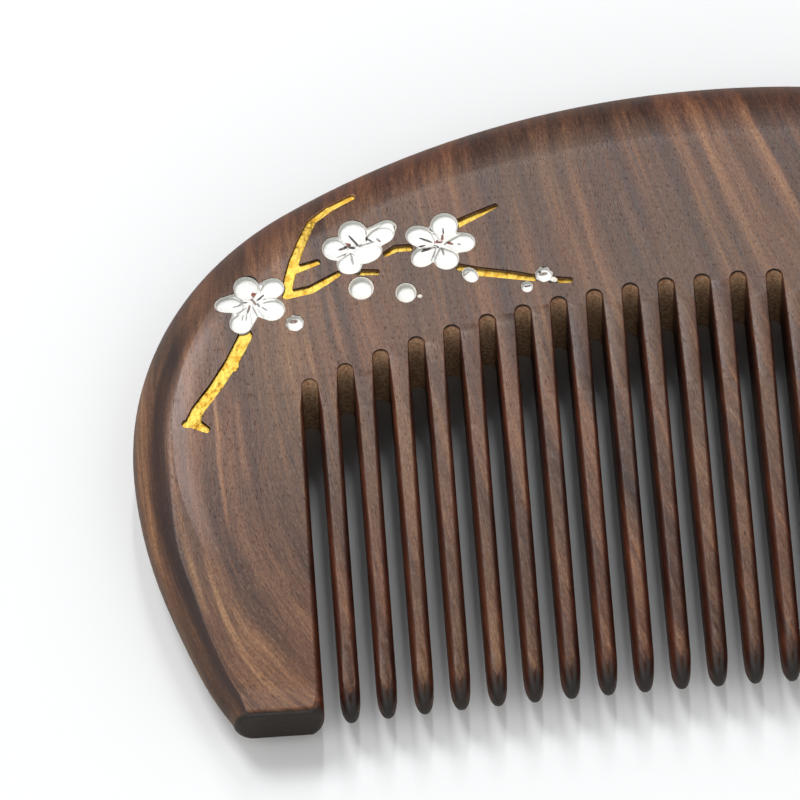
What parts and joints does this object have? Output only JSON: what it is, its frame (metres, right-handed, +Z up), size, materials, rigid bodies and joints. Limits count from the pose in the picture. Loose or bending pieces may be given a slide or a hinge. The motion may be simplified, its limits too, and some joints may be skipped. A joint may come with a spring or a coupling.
{
  "type": "wooden hair comb",
  "caption": "Half-moon wooden hair comb: rounded spine, straight tapering teeth between two wide guard teeth, and a flowering plum branch let into one shoulder.",
  "frame": {"origin": "on the surface the comb lies on, under the middle of its length and width", "axes": "+Z up out of the decorated front, +X along the spine to the right, teeth pointing to -Y"},
  "size_m": [0.112, 0.0634, 0.009],
  "materials": {
    "wood": "oiled and polished to a satin",
    "gold_fill": "gold-coloured fill, slightly glossy",
    "white_fill": "white fill, slightly glossy"
  },
  "bodies": {
    "root": {"comb": "wood", "stem": "gold_fill", "fork": "gold_fill", "spur_twig": "gold_fill", "link_twig": "gold_fill", "upper_twig": "gold_fill", "long_twig": "gold_fill", "end_twig": "gold_fill", "blossom_1": "white_fill", "blossom_2": "white_fill", "blossom_3": "white_fill", "bud_1": "white_fill", "bud_2": "white_fill", "bud_3": "white_fill", "bud_4": "white_fill", "bud_5": "white_fill", "bud_6": "white_fill"}
  },
  "joints": []
}
